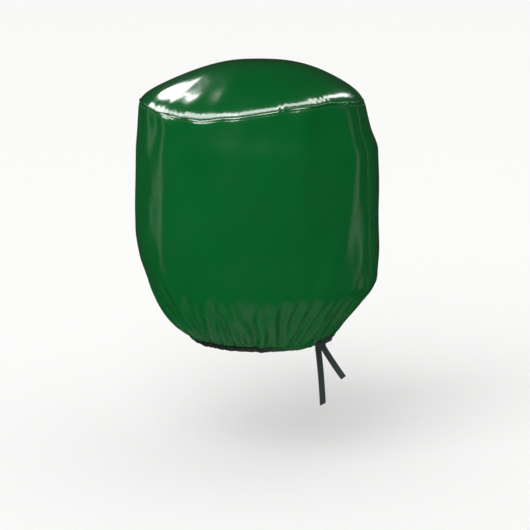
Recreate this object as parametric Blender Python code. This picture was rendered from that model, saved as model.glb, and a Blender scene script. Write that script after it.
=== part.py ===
"""Grill cover: a fitted bag of flannel-backed vinyl for a 22 inch kettle grill.

The cover hangs from the flat crown that rests on the lid's handle. A domed top panel is sewn to a skirt
of two panels, the skirt narrows to a hem, and a flat strap runs through the hem's casing, comes out at the
front right, goes round one leg of the grill and is knotted there, with two tails hanging free.

Metres, +Z up. The origin is the middle of the crown's flat underside, the front faces -Y, and depths are
measured downwards from the crown.
"""

import math

import bmesh
import bpy
from mathutils import Vector

# Materials by thickness, and the air left between neighbouring pieces.
VINYL = 0.0018
TAPE = 0.0010
CASING_WALL = 0.0010
STRAP_THICK = 0.0015
GAP = 0.0004

# Top panel: a flat crown, then a dome down to the shoulder seam.
CROWN_FLAT = 0.040
CROWN_RADIUS = 0.047
SHOULDER_DEPTH = 0.116
SHOULDER_LEFT = 0.339
SHOULDER_RIGHT = 0.308
DOME_POWER = 1.84  # how late the dome falls away, and how much later on the right than in the middle
DOME_POWER_SIDE = 0.20
DOME_ROLL = 0.12  # share of the dome's drop that rolls over just inside the seam
DOME_ROLL_POWER = 12
DOME_EDGE_SLOPE = math.radians(40)
DOME_WAVE_POWER = 3  # how late the seam's waves grow across the dome

# The shoulder seam sags at the front left and rides up at the front right: (angle, half-width, drop).
SHOULDER_WAVES = (
    (math.radians(-120), math.radians(50), 0.027),
    (math.radians(-48), math.radians(38), -0.010),
)
WAVE_REACH = 0.11  # depth below the seam over which those waves die out

# Hem casing: a flattened tube leaning outwards as it goes up, open where the strap comes out.
CASING_DEPTH = 0.8165
CASING_LEFT = 0.1990
CASING_RIGHT = 0.2210
CASING_HALF_HEIGHT = 0.0135
CASING_HALF_DEPTH = 0.0040
CASING_LEAN = math.radians(42)
HEM_FRONT_RISE = 0.007  # how much higher the hem hangs at the front than at the back
RISE_FROM_DEPTH = 0.60
SEAM_RIGHT = math.radians(-26)  # the side seams are half a turn apart; the casing opens at the right one
SEAM_LEFT = SEAM_RIGHT + math.pi
OPENING_HALF = math.radians(15)
CASING_JOIN = 0.0016  # from the casing's upper edge to the middle of the skirt's lower edge

# Skirt outline below the shoulder: depth, radius on the left, radius on the right.
SKIRT_OUTLINE = (
    (SHOULDER_DEPTH, SHOULDER_LEFT, SHOULDER_RIGHT),
    (0.190, 0.347, 0.329),
    (0.262, 0.353, 0.353),
    (0.480, 0.357, 0.358),
    (0.560, 0.347, 0.361),
    (0.632, 0.325, 0.356),
    (0.700, 0.296, 0.310),
    (0.765, 0.258, 0.258),
    (
        CASING_DEPTH - (CASING_HALF_HEIGHT + CASING_JOIN) * math.cos(CASING_LEAN),
        CASING_LEFT + (CASING_HALF_HEIGHT + CASING_JOIN) * math.sin(CASING_LEAN),
        CASING_RIGHT + (CASING_HALF_HEIGHT + CASING_JOIN) * math.sin(CASING_LEAN),
    ),
)
SKIRT_BOTTOM = SKIRT_OUTLINE[-1][0]
SLOPE_STEP = 0.002  # half the depth over which the skirt's slope is taken

# Seams.
PIPING_RADIUS = 0.0024
PIPING_ROOM = PIPING_RADIUS + 0.0007  # from the piping's centre to the cut edges of the panels
BINDING_FROM, BINDING_TO = 0.006, 0.020  # the shoulder binding, below the seam
TAPE_HALF_WIDTH = 0.0095
TAPE_CLEARANCE = 0.0008
THREAD_RADIUS = 0.0005
THREAD_CLEARANCE = 0.0004
SHOULDER_STITCH_BELOW = 0.009
SIDE_STITCH_OFF = 0.007
HEM_STITCH_ABOVE = 0.006

# Strap, knot, leg loop and tails. The grill's leg that the loop holds is 25 mm across.
STRAP_WIDTH = 0.018
LOOP_BAND = 0.012
LEG_CENTRE = Vector((0.2045, -0.0790, -0.8115))
LEG_RADIUS = 0.0127
LEG_CLEARANCE = 0.0020
LOOP_RADIUS = LEG_RADIUS + LEG_CLEARANCE
LOOP_NECK_RADIUS = 0.0034
KNOT_CENTRE = Vector((0.1835, -0.1270, -0.8110))
KNOT_HALF = Vector((0.0125, 0.0085, 0.0100))
KNOT_ROOM = 0.0008
TAIL_DROP = 0.0020  # from the knot's underside to the tails' hinge, a line along X
TAIL_HINGE = KNOT_CENTRE - Vector((0, 0, KNOT_HALF.z + TAIL_DROP))
LONG_TAIL = (0.1780, 0.1930, -0.9960, 0.45)  # X at its hinge and at its end, Z of its end, bow
SHORT_TAIL = (0.1925, 0.2535, -0.9160, -0.12)
TAIL_NECK_WIDTH = 0.0125
TAIL_NECK_LENGTH = 0.030

# Facets.
TURN_STEPS = 54
SKIRT_ROWS = 13
CASING_CORNERS = 8
TAIL_STEPS = 9
DOME_SHARES = (0.0, 0.18, 0.36, 0.52, 0.67, 0.80, 0.90, 0.96)
LOOP_STEPS, NECK_STEPS, LEAD_STEPS = 14, 6, 5
KNOT_DETAIL = 2
SHARP_ANGLE = math.radians(40)

# Colours: base colour in linear light, roughness.
VINYL_GREEN = ((0.0006, 0.098, 0.0185, 1), 0.22)
PIPING_GREEN = ((0.0006, 0.085, 0.016, 1), 0.25)
WEBBING = ((0.025, 0.036, 0.034, 1), 0.75)
TAPE_GREEN = ((0.010, 0.050, 0.022, 1), 0.80)
THREAD_GREEN = ((0.006, 0.060, 0.022, 1), 0.60)


def clear_scene():
    for thing in list(bpy.data.objects):
        bpy.data.objects.remove(thing, do_unlink=True)


def ease(share):
    """0 below 0, 1 above 1, and a smooth step between."""
    share = min(max(share, 0.0), 1.0)
    return share * share * (3 - 2 * share)


def side_mix(left, right, angle):
    """A size that is left at angle pi, right at angle 0, and turns smoothly into the other between them."""
    return (left + right) / 2 + (right - left) / 2 * math.cos(angle)


def read_outline(outline, depth, column):
    """One column of the outline at this depth, on a curve through its points that doesn't overshoot."""
    depths = [row[0] for row in outline]
    values = [row[column] for row in outline]
    last = len(outline) - 2
    i = next((k for k in range(last) if depth <= depths[k + 1]), last)
    spans = [b - a for a, b in zip(depths, depths[1:])]
    slopes = [(b - a) / s for a, b, s in zip(values, values[1:], spans)]

    def tangent(k):
        if k == 0 or k == len(slopes):
            return slopes[min(k, last)]
        before, after = slopes[k - 1], slopes[k]
        return 0.0 if before * after <= 0 else 2 * before * after / (before + after)

    t = (depth - depths[i]) / spans[i]
    start = (1 + 2 * t) * (1 - t) ** 2 * values[i] + t * (1 - t) ** 2 * spans[i] * tangent(i)
    end = t * t * (3 - 2 * t) * values[i + 1] - t * t * (1 - t) * spans[i] * tangent(i + 1)
    return start + end


def angle_off(angle, centre):
    """The angle from centre, between -pi and pi."""
    return math.remainder(angle - centre, 2 * math.pi)


def shoulder_drop(angle):
    """How far the shoulder seam hangs below its own level."""
    return sum(
        drop * ease(1 - abs(angle_off(angle, centre)) / half)
        for centre, half, drop in SHOULDER_WAVES
    )


def hem_rise(angle):
    return HEM_FRONT_RISE * (1 - math.sin(angle)) / 2


def outwards(angle):
    return Vector((math.cos(angle), math.sin(angle), 0))


def on_cover(angle, radius, depth):
    """A point of the cover's middle surface, which is half a thickness above the crown's underside."""
    return outwards(angle) * radius + Vector((0, 0, VINYL / 2 - depth))


def dome_point(angle, share):
    """The top panel's middle surface: share is 0 at the crown's edge and 1 at the shoulder seam."""
    seam = side_mix(SHOULDER_LEFT, SHOULDER_RIGHT, angle)
    power = DOME_POWER + DOME_POWER_SIDE * math.cos(angle)
    fall = (1 - DOME_ROLL) * share**power + DOME_ROLL * share**DOME_ROLL_POWER
    depth = SHOULDER_DEPTH * fall + shoulder_drop(angle) * share**DOME_WAVE_POWER
    return on_cover(angle, CROWN_RADIUS + (seam - CROWN_RADIUS) * share, depth)


def skirt_point(angle, depth):
    """The skirt's middle surface at a depth of its outline, with the seam's waves and the hem's rise."""
    left, right = (read_outline(SKIRT_OUTLINE, depth, column) for column in (1, 2))
    waves = shoulder_drop(angle) * (1 - ease((depth - SHOULDER_DEPTH) / WAVE_REACH))
    lift = hem_rise(angle) * ease((depth - RISE_FROM_DEPTH) / (SKIRT_BOTTOM - RISE_FROM_DEPTH))
    return on_cover(angle, side_mix(left, right, angle), depth + waves - lift)


def skirt_offset(angle, depth, distance):
    """A point that far outside the skirt's middle surface."""
    low, high = max(depth - SLOPE_STEP, SHOULDER_DEPTH), min(depth + SLOPE_STEP, SKIRT_BOTTOM)
    down = (skirt_point(angle, high) - skirt_point(angle, low)).normalized()
    across = Vector((-math.sin(angle), math.cos(angle), 0))
    return skirt_point(angle, depth) + down.cross(across).normalized() * distance


def casing_frame(angle):
    """The casing's centre, the direction up along its slope and the direction square to it, outwards."""
    centre = on_cover(
        angle, side_mix(CASING_LEFT, CASING_RIGHT, angle), CASING_DEPTH - hem_rise(angle)
    )
    lean, level = outwards(angle), Vector((0, 0, 1))
    up = level * math.cos(CASING_LEAN) + lean * math.sin(CASING_LEAN)
    side = lean * math.cos(CASING_LEAN) - level * math.sin(CASING_LEAN)
    return centre, up, side


def steps(start, end, count):
    return [start + (end - start) * k / count for k in range(count + 1)]


def material(name, look):
    colour, roughness = look
    made = bpy.data.materials.get(name) or bpy.data.materials.new(name)
    made.use_nodes = True
    shader = made.node_tree.nodes["Principled BSDF"]
    shader.inputs["Base Color"].default_value = colour
    shader.inputs["Roughness"].default_value = roughness
    return made


def place(name, data, look_name, look, origin=None):
    """The mesh or curve as an object of the scene, with its origin moved to a point if one is given."""
    obj = bpy.data.objects.new(name, data)
    bpy.context.scene.collection.objects.link(obj)
    data.materials.append(material(look_name, look))
    if origin is not None:
        for vertex in data.vertices:
            vertex.co -= origin
        obj.location = origin
    return obj


def grid_mesh(name, rows, closed_rows=False, closed_columns=False, hub=None):
    """A sheet through rows of points, closed by a fan from the first row to the point hub, if given."""
    shape = bmesh.new()
    made = [[shape.verts.new(point) for point in row] for row in rows]
    if closed_columns:
        made.append(made[0])
    for first, second in zip(made, made[1:]):
        count = len(first)
        for k in range(count if closed_rows else count - 1):
            after = (k + 1) % count
            shape.faces.new((first[k], second[k], second[after], first[after]))
    if hub is not None:
        middle, ring = shape.verts.new(hub), made[0]
        for k, corner in enumerate(ring):
            shape.faces.new((middle, corner, ring[(k + 1) % len(ring)]))
    bmesh.ops.recalc_face_normals(shape, faces=shape.faces)
    mesh = bpy.data.meshes.new(name)
    shape.to_mesh(mesh)
    shape.free()
    mesh.shade_smooth()
    mesh.set_sharp_from_angle(angle=SHARP_ANGLE)
    return mesh


def thicken(obj, thickness, offset=0.0):
    wall = obj.modifiers.new("wall", "SOLIDIFY")
    wall.thickness = thickness
    wall.offset = offset
    wall.use_even_offset = True
    return obj


def thread(name, points, closed, radius, look_name, look):
    """A round cord through the points: piping or a row of stitching."""
    curve = bpy.data.curves.new(name, "CURVE")
    curve.dimensions = "3D"
    curve.bevel_depth = radius
    curve.bevel_resolution = 0
    curve.use_fill_caps = not closed
    spline = curve.splines.new("POLY")
    spline.points.add(len(points) - 1)
    for target, point in zip(spline.points, points):
        target.co = (*point, 1)
    spline.use_cyclic_u = closed
    return place(name, curve, look_name, look)


def whole_turn():
    return steps(SEAM_RIGHT, SEAM_RIGHT + 2 * math.pi, TURN_STEPS)[:-1]


def make_top_panel():
    shoulder = side_mix(SHOULDER_LEFT, SHOULDER_RIGHT, math.pi / 2) - CROWN_RADIUS
    edge_share = 1 - PIPING_ROOM * math.cos(DOME_EDGE_SLOPE) / shoulder
    flat = [
        [on_cover(angle, radius, 0) for angle in whole_turn()]
        for radius in (CROWN_FLAT / 2, CROWN_FLAT)
    ]
    dome = [
        [dome_point(angle, share) for angle in whole_turn()]
        for share in (*DOME_SHARES, edge_share)
    ]
    mesh = grid_mesh("top_panel", flat + dome, closed_rows=True, hub=on_cover(0, 0, 0))
    return thicken(place("top_panel", mesh, "vinyl", VINYL_GREEN), VINYL)


def make_skirt_panel(name, first_seam):
    """Half of the skirt, from a hair after one side seam to a hair before the other."""
    hair = GAP / 2 / SHOULDER_LEFT
    angles = steps(first_seam, first_seam + math.pi, TURN_STEPS // 2)
    angles[0] += hair
    angles[-1] -= hair
    depths = steps(SHOULDER_DEPTH + PIPING_ROOM, SKIRT_BOTTOM, SKIRT_ROWS)
    rows = [[skirt_point(angle, depth) for angle in angles] for depth in depths]
    return thicken(place(name, grid_mesh(name, rows), "vinyl", VINYL_GREEN), VINYL)


def make_shoulder_piping():
    points = [skirt_point(angle, SHOULDER_DEPTH) for angle in whole_turn()]
    return thread("shoulder_piping", points, True, PIPING_RADIUS, "piping", PIPING_GREEN)


def make_shoulder_binding():
    inside = -(VINYL / 2 + TAPE_CLEARANCE + TAPE / 2)
    rows = [
        [skirt_offset(angle, SHOULDER_DEPTH + below, inside) for angle in whole_turn()]
        for below in (BINDING_FROM, BINDING_TO)
    ]
    mesh = grid_mesh("shoulder_binding", rows, closed_rows=True)
    return thicken(place("shoulder_binding", mesh, "seam_tape", TAPE_GREEN), TAPE)


def make_side_tape(name, seam):
    """The tape inside a side seam, on the same rows as the panels that it joins."""
    inside = -(VINYL / 2 + TAPE_CLEARANCE + TAPE / 2)
    half = TAPE_HALF_WIDTH / SHOULDER_LEFT
    depths = steps(SHOULDER_DEPTH + PIPING_ROOM, SKIRT_BOTTOM, SKIRT_ROWS)[1:-1]
    rows = [
        [skirt_offset(seam + turn, depth, inside) for turn in (-half, 0, half)]
        for depth in depths
    ]
    return thicken(place(name, grid_mesh(name, rows), "seam_tape", TAPE_GREEN), TAPE)


def make_stitching():
    """The rows of thread that show: below the shoulder, beside each side seam, and above the casing."""
    outside = VINYL / 2 + THREAD_CLEARANCE + THREAD_RADIUS
    depths = steps(SHOULDER_DEPTH + PIPING_ROOM, SKIRT_BOTTOM, SKIRT_ROWS)
    rings = {
        "shoulder_stitching": SHOULDER_DEPTH + SHOULDER_STITCH_BELOW,
        "hem_stitching": SKIRT_BOTTOM - HEM_STITCH_ABOVE,
    }
    for name, depth in rings.items():
        points = [skirt_offset(angle, depth, outside) for angle in whole_turn()]
        thread(name, points, True, THREAD_RADIUS, "thread", THREAD_GREEN)
    for name, seam in (("side_stitching_left", SEAM_LEFT), ("side_stitching_right", SEAM_RIGHT)):
        beside = seam - SIDE_STITCH_OFF / SHOULDER_LEFT
        points = [skirt_offset(beside, depth, outside) for depth in depths[1:-1]]
        thread(name, points, False, THREAD_RADIUS, "thread", THREAD_GREEN)


def make_casing(name, start, end):
    """A hollow flattened tube along the hem, open at both ends."""
    corners = steps(0, 2 * math.pi, CASING_CORNERS)[:-1]
    rows = []
    for angle in steps(start, end, round((end - start) / (2 * math.pi) * TURN_STEPS)):
        centre, up, side = casing_frame(angle)
        rows.append(
            [
                centre
                + up * CASING_HALF_HEIGHT * math.cos(corner)
                + side * CASING_HALF_DEPTH * math.sin(corner)
                for corner in corners
            ]
        )
    mesh = grid_mesh(name, rows, closed_rows=True)
    return thicken(place(name, mesh, "vinyl", VINYL_GREEN), CASING_WALL, -1.0)


def ribbon_mesh(name, stations, closed=False):
    """A flat strap through stations of (centre, direction of its width, width)."""
    rows = [
        [centre + across * width * k / 2 for k in (-1, 0, 1)]
        for centre, across, width in stations
    ]
    return grid_mesh(name, rows, closed_columns=closed)


def strap_lead(mouth_angle, end):
    """Stations from the casing's mouth to a free end of the strap, standing up straight as it leaves."""
    centre, up, _ = casing_frame(mouth_angle)
    upright = Vector((0, 0, 1))
    return [
        (centre.lerp(end, share), up.lerp(upright, ease(share)).normalized(), STRAP_WIDTH)
        for share in steps(0, 1, LEAD_STEPS)[1:]
    ]


def knot_reach(direction):
    """How far the knot's surface is from its centre in this direction."""
    return 1 / math.sqrt(sum((part / half) ** 2 for part, half in zip(direction, KNOT_HALF)))


def make_drawstrap():
    """The strap inside the casing, nearly a whole turn, with its two ends out at the opening."""
    front, back = SEAM_RIGHT - OPENING_HALF, SEAM_RIGHT + OPENING_HALF
    share_inside = 1 - OPENING_HALF / math.pi
    angles = steps(front, back - 2 * math.pi, round(TURN_STEPS * share_inside))
    inside = [(*casing_frame(angle)[:2], STRAP_WIDTH) for angle in angles]
    to_mouth = (casing_frame(front)[0] - KNOT_CENTRE).normalized()
    knot_end = KNOT_CENTRE + to_mouth * (knot_reach(to_mouth) + KNOT_ROOM)
    to_back = (casing_frame(back)[0] - LEG_CENTRE).normalized()
    loop_end = LEG_CENTRE + to_back * (LOOP_RADIUS + STRAP_THICK + GAP)
    stations = strap_lead(front, knot_end)[::-1] + inside + strap_lead(back, loop_end)
    mesh = ribbon_mesh("hem_drawstrap", stations)
    return thicken(place("hem_drawstrap", mesh, "webbing", WEBBING), STRAP_THICK)


def make_leg_loop():
    """The strap's turn round the grill's leg: a round end at the leg and a narrow neck at the knot."""
    along = (LEG_CENTRE - KNOT_CENTRE).normalized()
    neck = KNOT_CENTRE + along * (knot_reach(along) + KNOT_ROOM + LOOP_NECK_RADIUS + STRAP_THICK)
    facing = math.atan2(along.y, along.x)
    spread = math.acos((LOOP_RADIUS - LOOP_NECK_RADIUS) / (LEG_CENTRE - neck).length)
    half_turn = math.pi - spread
    round_end = [
        LEG_CENTRE + outwards(facing + turn) * LOOP_RADIUS
        for turn in steps(-half_turn, half_turn, LOOP_STEPS)
    ]
    neck_end = [
        neck + outwards(facing + math.pi + turn) * LOOP_NECK_RADIUS
        for turn in steps(-spread, spread, NECK_STEPS)
    ]
    upright = Vector((0, 0, 1))
    stations = [(centre, upright, LOOP_BAND) for centre in round_end + neck_end]
    mesh = ribbon_mesh("leg_loop", stations, closed=True)
    return thicken(place("leg_loop", mesh, "webbing", WEBBING), STRAP_THICK)


def make_knot():
    shape = bmesh.new()
    bmesh.ops.create_icosphere(shape, subdivisions=KNOT_DETAIL, radius=1)
    for vertex in shape.verts:
        vertex.co = [part * half for part, half in zip(vertex.co, KNOT_HALF)]
    mesh = bpy.data.meshes.new("tie_knot")
    shape.to_mesh(mesh)
    shape.free()
    mesh.shade_smooth()
    knot = place("tie_knot", mesh, "webbing", WEBBING)
    knot.location = KNOT_CENTRE
    return knot


def make_tail(name, top_x, end_x, end_z, bow):
    """A tail that hangs from the knot in one upright plane. Its origin is on its hinge, under the knot."""
    top = Vector((top_x, TAIL_HINGE.y, TAIL_HINGE.z))
    line = []
    for share in steps(0, 1, TAIL_STEPS):
        bent = share + bow * share * (1 - share)
        line.append(Vector((top_x + (end_x - top_x) * bent, top.y, top.z + (end_z - top.z) * share)))
    length = sum((b - a).length for a, b in zip(line, line[1:]))
    stations = []
    for k, centre in enumerate(line):
        along = line[min(k + 1, TAIL_STEPS)] - line[max(k - 1, 0)]
        across = Vector((-along.z, 0, along.x)).normalized()
        widening = ease(length * k / TAIL_STEPS / TAIL_NECK_LENGTH)
        width = TAIL_NECK_WIDTH + (STRAP_WIDTH - TAIL_NECK_WIDTH) * widening
        stations.append((centre, across, width))
    mesh = ribbon_mesh(name, stations)
    return thicken(place(name, mesh, "webbing", WEBBING, top), STRAP_THICK)


def main():
    clear_scene()
    make_top_panel()
    make_skirt_panel("skirt_front_panel", SEAM_LEFT)
    make_skirt_panel("skirt_back_panel", SEAM_RIGHT)
    make_shoulder_piping()
    make_shoulder_binding()
    make_side_tape("side_seam_tape_left", SEAM_LEFT)
    make_side_tape("side_seam_tape_right", SEAM_RIGHT)
    make_stitching()
    hair = GAP / 2 / CASING_LEFT
    make_casing("hem_casing_front", SEAM_LEFT - 2 * math.pi + hair, SEAM_RIGHT - OPENING_HALF)
    make_casing("hem_casing_back", SEAM_RIGHT + OPENING_HALF, SEAM_LEFT - hair)
    make_drawstrap()
    make_leg_loop()
    make_knot()
    make_tail("long_tail", *LONG_TAIL)
    make_tail("short_tail", *SHORT_TAIL)


main()
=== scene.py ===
"""Looks of the grill cover: glossy flannel-backed vinyl, sewn, piped and gathered, with a webbing strap.

Metres, +Z up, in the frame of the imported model. The cover's surfaces follow the same formulas as the CAD
solids, so each piece lies where its solid is, and folds, pleats and stitches are added to them here.
Depths are measured downwards from the crown, and angles turn round the Z axis from +X.
"""

import math

import bpy
import numpy as np
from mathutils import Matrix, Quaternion, Vector


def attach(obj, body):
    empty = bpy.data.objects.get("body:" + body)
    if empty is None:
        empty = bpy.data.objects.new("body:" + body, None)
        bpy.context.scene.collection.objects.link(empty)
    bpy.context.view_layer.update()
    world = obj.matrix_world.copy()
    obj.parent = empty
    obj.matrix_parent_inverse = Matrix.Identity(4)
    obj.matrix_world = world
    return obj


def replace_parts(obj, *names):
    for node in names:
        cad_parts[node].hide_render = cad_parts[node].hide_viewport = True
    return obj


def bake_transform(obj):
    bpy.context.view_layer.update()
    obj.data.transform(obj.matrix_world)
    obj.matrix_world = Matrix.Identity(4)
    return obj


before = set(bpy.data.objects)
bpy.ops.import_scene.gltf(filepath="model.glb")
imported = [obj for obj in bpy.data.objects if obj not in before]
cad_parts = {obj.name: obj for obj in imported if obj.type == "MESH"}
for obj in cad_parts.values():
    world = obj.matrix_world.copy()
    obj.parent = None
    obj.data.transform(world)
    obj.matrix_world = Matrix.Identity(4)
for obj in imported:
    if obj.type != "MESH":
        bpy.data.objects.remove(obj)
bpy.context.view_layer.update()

TURN = 2 * math.pi
UP = np.array((0.0, 0.0, 1.0))

# The cover's shape, as in the CAD solids.
CAD_VINYL = 0.0018
CROWN_RADIUS = 0.047
SHOULDER_DEPTH = 0.116
SHOULDER_LEFT = 0.339
SHOULDER_RIGHT = 0.308
DOME_POWER = 1.84
DOME_POWER_SIDE = 0.20
DOME_ROLL = 0.12
DOME_ROLL_POWER = 12
DOME_WAVE_POWER = 3
SHOULDER_WAVES = (
    (math.radians(-120), math.radians(50), 0.027),
    (math.radians(-48), math.radians(38), -0.010),
)
WAVE_REACH = 0.11
CASING_DEPTH = 0.8165
CASING_LEFT = 0.1990
CASING_RIGHT = 0.2210
CASING_HALF_HEIGHT = 0.0135
CASING_HALF_DEPTH = 0.0040
CASING_LEAN = math.radians(42)
HEM_FRONT_RISE = 0.007
RISE_FROM_DEPTH = 0.60
SEAM_RIGHT = math.radians(-26)
SEAM_LEFT = SEAM_RIGHT + math.pi
OPENING_HALF = math.radians(15)
CASING_JOIN = 0.0016
CASING_RISE = (CASING_HALF_HEIGHT + CASING_JOIN) * math.cos(CASING_LEAN)
CASING_SPREAD = (CASING_HALF_HEIGHT + CASING_JOIN) * math.sin(CASING_LEAN)
SKIRT_OUTLINE = (  # depth, radius on the left and on the right
    (SHOULDER_DEPTH, SHOULDER_LEFT, SHOULDER_RIGHT),
    (0.190, 0.347, 0.329),
    (0.262, 0.353, 0.353),
    (0.480, 0.357, 0.358),
    (0.560, 0.347, 0.361),
    (0.632, 0.325, 0.356),
    (0.700, 0.296, 0.310),
    (0.765, 0.258, 0.258),
    (CASING_DEPTH - CASING_RISE, CASING_LEFT + CASING_SPREAD, CASING_RIGHT + CASING_SPREAD),
)
SKIRT_BOTTOM = SKIRT_OUTLINE[-1][0]

# Sewn details.
SHEET = 0.0011  # vinyl and flannel together
PIPING_RADIUS = 0.0024
PIPING_ROOM = 0.0019
PIPING_PROUD = 0.0010
PIPING_LEAN, PIPING_UNEVEN = 0.7, 0.045
SHOULDER_STITCH_DEPTH = SHOULDER_DEPTH + 0.009
HEM_STITCH_DEPTH = SKIRT_BOTTOM - 0.006
SIDE_STITCH_OFF = 0.007
SIDE_STITCH_GAP = 0.003  # between the ends of the side rows and the rows that they meet
TAPE_HALF_WIDTH = 0.0095
BINDING_FROM, BINDING_TO = 0.006, 0.020
TAPE = 0.0008
TAPE_END = 0.004  # the side tapes end this far above the skirt's lower edge
TAPE_INSIDE = -0.0014  # from the middle of the sheet to the middle of the tape
STITCH_LENGTH, STITCH_PITCH, STITCH_RADIUS = 0.0034, 0.0046, 0.00042
STITCH_PROUD = 0.7 * STITCH_RADIUS  # from the vinyl's face to the middle of the thread
SEAM_HAIR = 0.0006  # the gap at a side seam, in radians
SEAM_FINE = math.radians(1.5)  # the columns beside a side seam are closer together this far
SEAM_FINE_COLUMNS = 8
HEM_TUCK = 0.0012  # how far the skirt reaches into the casing
FINE_BELOW_SHOULDER, FINE_ABOVE_HEM = 0.020, 0.055  # the rows are closer together there
MOUTH_PUSHED_BACK = math.radians(1.5)  # the knot drawn tight has bunched the casing's front end
CROWN_SHARE, DOME_FINE_FROM = -0.15, 0.90  # the top panel's first row, and where its rows come closer
SHOULDER_SLOPE = math.radians(40)
DOME_EDGE = 1 - PIPING_ROOM * math.cos(SHOULDER_SLOPE) / (
    (SHOULDER_LEFT + SHOULDER_RIGHT) / 2 - CROWN_RADIUS
)

# Strap, as in the CAD solids.
STRAP_WIDTH = 0.018
STRAP_THICK = 0.0015
LOOP_BAND = 0.012
LEG_CENTRE = np.array((0.2045, -0.0790, -0.8115))
LOOP_RADIUS = 0.0147
LOOP_NECK_RADIUS = 0.0034
KNOT_CENTRE = np.array((0.1835, -0.1270, -0.8110))
KNOT_HALF = np.array((0.0125, 0.0085, 0.0100))
TAIL_TOP = -0.8230  # height of the tails' hinge
TAILS = {  # body, X at its hinge and end, Z of its end, bow, how far behind the knot, twist, skew of its cut
    "long_tail": ("long_strap_tail", 0.1780, 0.1930, -0.9960, 0.45, 0.0, math.radians(8), -0.0045),
    "short_tail": ("short_strap_tail", 0.1925, 0.2535, -0.9160, -0.12, 0.0028, math.radians(-8), 0.0),
}
TAIL_NECK_WIDTH = 0.0165
TAIL_NECK_LENGTH = 0.014
TAIL_SWAY = 0.0025
TAIL_CUP, TAIL_NECK_CUP = -0.0008, -0.0024
TAIL_INSIDE = (0.009, 0.002)  # how far above its hinge a tail starts and stops running inside the knot
HINGE_ABOVE, HINGE_BELOW = 0.003, 0.012  # the bend of a tail starts and ends this far from its hinge
SKEW_REACH = 0.016
LOOP_TILT = 0.20
LOOP_NECK_OFF = 0.0145
LOOP_UNEVEN = 0.002
LOOP_LEAD_WIDTH = LOOP_BAND - 0.0015
LEAD_BEND = math.radians(50)  # how far round the loop the strap sinks into it
KNOT_ENTRY = np.array((-0.004, 0.001, 0.001))
KNOT_SQUEEZE = 0.005
KNOT_TURNS = {  # how far out the turn lies, its axis, its width
    "knot_inner_strands": (-0.0024, (1.0, 0.0, 0.08), 0.0300),
    "knot_under_turn": (-0.0009, (0.80, 0.10, 0.60), 0.0125),
    "knot_over_turn": (0.0008, (0.86, -0.12, -0.50), 0.0120),
}
KNOT_CROWN, KNOT_EDGE = 0.04, 0.09  # how far a turn bulges, and how far its edges bend inwards

# How finely the pieces are meshed.
PANEL_COLUMNS = 300
PANEL_ROWS = (15, 84, 34)  # below the shoulder, down the middle, and above the hem
DOME_COLUMNS = 600
DOME_ROWS = (52, 18)  # over the dome, and along its edge
CASING_COLUMNS = 900  # in a whole turn
CASING_SIDES = 20
PIPING_COLUMNS, PIPING_SIDES = 1100, 12
BINDING_COLUMNS, TAPE_COLUMNS, TAPE_ROWS = 420, 7, 130
STITCH_ROW_POINTS, SIDE_STITCH_POINTS = 2400, 500
STRAP_POINTS = 420
LEAD_POINTS, LEAD_BEND_POINTS = 14, 9
LOOP_POINTS, LOOP_NECK_POINTS = 60, 12
KNOT_COLUMNS, KNOT_ROWS = 72, 9
TAIL_POINTS, TAIL_INSIDE_POINTS = 70, 4
RIBBON_SIDES = 16
STITCH_SIDES = 6

# Steps along a surface when its slope is read.
ANGLE_STEP = 0.002
SHARE_STEP = 0.004
DEPTH_STEP = 0.002


# ---- Smooth functions ----


def whole_turn(count):
    """This many angles, evenly round a whole turn."""
    return np.linspace(0, TURN, count, endpoint=False)


def ease(share):
    """0 below 0, 1 above 1, and a smooth step between."""
    share = np.clip(share, 0.0, 1.0)
    return share * share * (3 - 2 * share)


def bump(distance, half_width, sharpness=2):
    """1 at distance 0, falling to 0 beyond half_width, flatter and steeper with a higher sharpness."""
    return np.exp(-np.abs(distance / half_width) ** sharpness)


def angle_off(angle, centre):
    """The angle from centre, between -pi and pi."""
    return np.mod(angle - centre + math.pi, TURN) - math.pi


def side_mix(left, right, angle):
    """A size that is left at angle pi, right at angle 0, and turns smoothly into the other between them."""
    return (left + right) / 2 + (right - left) / 2 * np.cos(angle)


def ripple(angle, height, seed, turns, rise, count=7):
    """Smooth noise of about -1 to 1: a whole number of waves round the cover, each tilted by up to rise."""
    random = np.random.default_rng(seed)
    total = 0 * (angle + height)
    for _ in range(count):
        around = random.integers(*turns)
        tilt = random.uniform(-rise, rise)
        total = total + np.cos(around * angle + tilt * height + random.uniform(0, TURN))
    return total / math.sqrt(count)


def read_outline(depth, column):
    """One column of the outline at these depths, on a curve through its points that doesn't overshoot."""
    depths = np.array([row[0] for row in SKIRT_OUTLINE])
    values = np.array([row[column] for row in SKIRT_OUTLINE])
    spans = np.diff(depths)
    slopes = np.diff(values) / spans
    product = slopes[:-1] * slopes[1:]
    total = slopes[:-1] + slopes[1:]
    inner = np.where(product > 0, 2 * product / np.where(total == 0, 1, total), 0)
    tangents = np.concatenate([slopes[:1], inner, slopes[-1:]])
    i = np.clip(np.searchsorted(depths, depth, side="left") - 1, 0, len(spans) - 1)
    t = (depth - depths[i]) / spans[i]
    start = (1 + 2 * t) * (1 - t) ** 2 * values[i] + t * (1 - t) ** 2 * spans[i] * tangents[i]
    end = t * t * (3 - 2 * t) * values[i + 1] - t * t * (1 - t) * spans[i] * tangents[i + 1]
    return start + end


# ---- The plain surfaces of the CAD solids ----


def stack(*parts):
    """Points whose coordinates are these parts."""
    return np.stack(np.broadcast_arrays(*parts), axis=-1)


def unit(vectors):
    return vectors / np.linalg.norm(vectors, axis=-1, keepdims=True)


def level(angle, radius=1.0, height=0.0):
    """The direction of this angle round the Z axis, or the point this far out in it and this high."""
    return stack(np.cos(angle) * radius, np.sin(angle) * radius, height)


def on_cover(angle, radius, depth):
    return level(angle, radius, CAD_VINYL / 2 - depth)


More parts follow.
